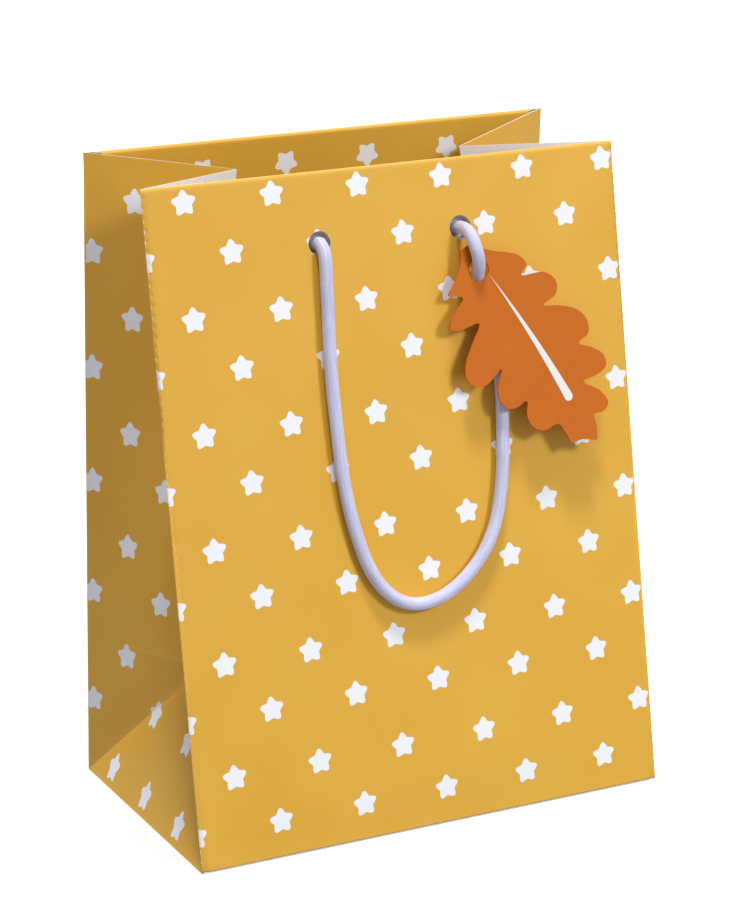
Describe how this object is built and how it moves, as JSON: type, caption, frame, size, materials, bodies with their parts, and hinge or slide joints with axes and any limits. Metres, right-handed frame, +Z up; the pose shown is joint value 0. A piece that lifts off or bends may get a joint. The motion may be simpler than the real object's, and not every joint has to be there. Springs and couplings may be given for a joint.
{
  "type": "gift bag",
  "caption": "Upright paper gift bag with pleated side gussets, turned-in hems, a knotted rope handle on the front, a card base board and a leaf-shaped gift tag on the handle.",
  "frame": {"origin": "middle of the base, on the surface that the bag stands on", "axes": "+X to the bag's right as seen from its front, +Y from the front panel to the back panel, +Z up"},
  "size_m": [0.178, 0.1019, 0.2287],
  "materials": {
    "printed_paper": "satin-coated paper printed in mustard with small white stars",
    "white_paper": "uncoated white reverse of the printed paper",
    "hem_card": "plain grey-white stiffening card",
    "base_card": "plain grey-brown board",
    "handle_rope": "smooth pale lavender-white rope with fine lengthwise filaments",
    "tag_card": "matte orange-brown card with a printed white midrib"
  },
  "bodies": {
    "bag_body": {"back_panel": "printed_paper", "back_hem_card": "hem_card", "back_top_hem": "printed_paper", "side_seam_tab": "white_paper", "base_front_flap": "printed_paper", "base_back_flap": "white_paper", "base_left_tuck": "white_paper", "base_right_tuck": "white_paper", "base_board": "base_card", "left_gusset_base_triangle": "printed_paper", "left_gusset_lower_rear": "printed_paper", "left_gusset_lower_front": "printed_paper", "left_gusset_upper_rear": "printed_paper", "left_gusset_upper_front": "printed_paper", "right_gusset_base_triangle": "printed_paper", "right_gusset_lower_rear": "printed_paper", "right_gusset_lower_front": "printed_paper", "right_gusset_upper_rear": "printed_paper", "right_gusset_upper_front": "printed_paper"},
    "front_wall": {"front_panel": "printed_paper", "front_hem_card": "hem_card", "front_top_hem": "printed_paper", "front_handle_left_knot": "handle_rope", "front_handle_right_knot": "handle_rope"},
    "front_handle": {"front_handle_cord": "handle_rope"},
    "gift_tag": {"leaf_tag": "tag_card"}
  },
  "joints": [
    {"name": "mouth_opening", "type": "hinge", "parent": "bag_body", "child": "front_wall", "pos_m": [0, -0.051, 0], "axis": [1, 0, 0], "range_deg": [-6, 6], "deforming": ["left_gusset_lower_front", "left_gusset_upper_rear", "left_gusset_upper_front", "right_gusset_lower_front", "right_gusset_upper_rear", "right_gusset_upper_front"]},
    {"name": "front_handle_swing", "type": "hinge", "parent": "front_wall", "child": "front_handle", "pos_m": [0, -0.0208, 0.20286], "axis": [-1, 0, 0], "range_deg": [0, 175]},
    {"name": "tag_swing", "type": "hinge", "parent": "front_handle", "child": "gift_tag", "pos_m": [0.0294, -0.02293, 0.1882], "axis": [-0.0241, -0.9746, 0.2226], "range_deg": [-50, 30]}
  ]
}
